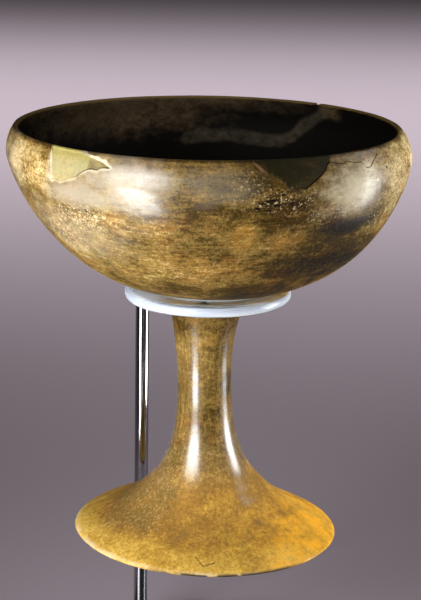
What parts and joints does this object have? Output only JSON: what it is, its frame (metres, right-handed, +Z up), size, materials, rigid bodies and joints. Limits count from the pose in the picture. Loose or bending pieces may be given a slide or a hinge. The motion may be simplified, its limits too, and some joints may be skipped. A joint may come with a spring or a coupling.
{
  "type": "pottery cup",
  "caption": "Burnished pottery cup with a deep bowl, waisted stem and flared hollow foot, resting in a clear acrylic ring on a steel post and round base.",
  "frame": {"origin": "middle of the round base's underside, beneath the cup's mouth", "axes": "+Z up, +X to the right of a viewer facing the side away from the post, +Y towards the post at the back"},
  "size_m": [0.2115, 0.211, 0.3209],
  "materials": {
    "clay": "satin",
    "acrylic": "gloss",
    "post_steel": "polished",
    "base_steel": "satin"
  },
  "bodies": {
    "root": {"pottery_cup": "clay", "support_ring": "acrylic", "support_post": "post_steel", "stand_base": "base_steel"}
  },
  "joints": []
}
